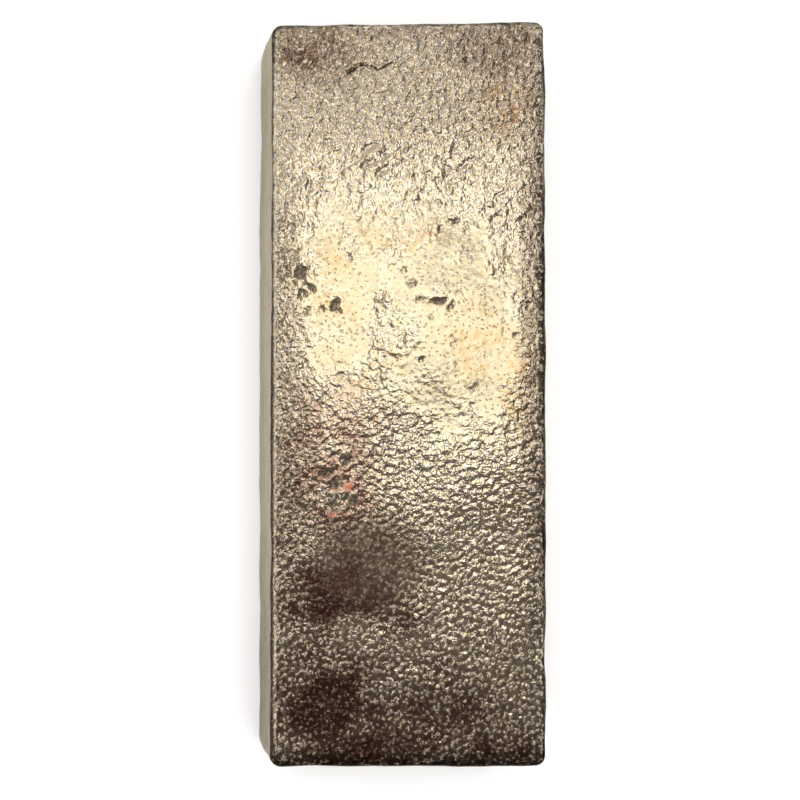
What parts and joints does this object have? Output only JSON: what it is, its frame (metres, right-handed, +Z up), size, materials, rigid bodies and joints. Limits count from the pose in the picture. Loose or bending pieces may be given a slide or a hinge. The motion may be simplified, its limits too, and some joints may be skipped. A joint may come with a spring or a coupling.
{
  "type": "metal ingot",
  "caption": "Cast metal ingot: a long block with leaning walls, small rounded edges, a pebbled mould face on top and a flat pour face to rest on.",
  "frame": {"origin": "centre of the pour face, which the bar lies on", "axes": "+Y along the bar's length, +X across its width, +Z up, out of the mould face"},
  "size_m": [0.06, 0.156, 0.033],
  "materials": {
    "cast_silver": "satin"
  },
  "bodies": {
    "root": {"ingot": "cast_silver"}
  },
  "joints": []
}
